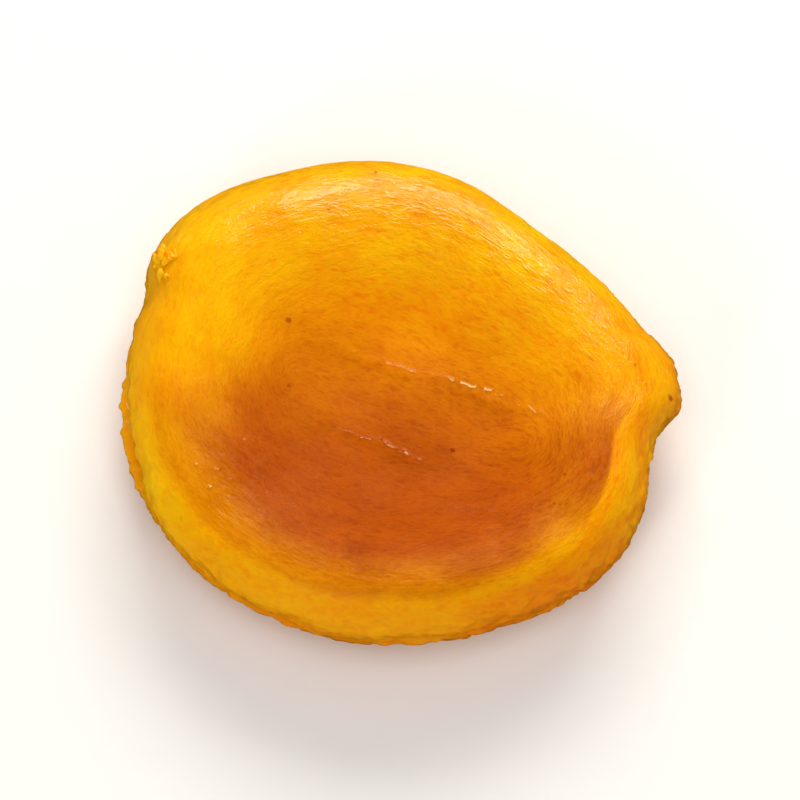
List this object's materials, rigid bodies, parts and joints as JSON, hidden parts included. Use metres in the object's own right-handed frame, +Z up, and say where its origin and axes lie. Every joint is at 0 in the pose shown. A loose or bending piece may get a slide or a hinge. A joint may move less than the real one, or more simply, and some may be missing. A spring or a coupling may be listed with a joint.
{
  "type": "dried apricot",
  "caption": "Pitted, pressed and dried apricot with a rolled rim, a shallow dish, a closed slit in its edge and a blunt stem end, lying flat.",
  "frame": {"origin": "middle of the fruit's box at the height of its flat resting spot", "axes": "+X towards the stem end, +Y across the fruit, +Z up out of the dish"},
  "size_m": [0.0466, 0.043, 0.0121],
  "materials": {
    "flesh": "gloss"
  },
  "bodies": {
    "root": {"fruit": "flesh"}
  },
  "joints": []
}
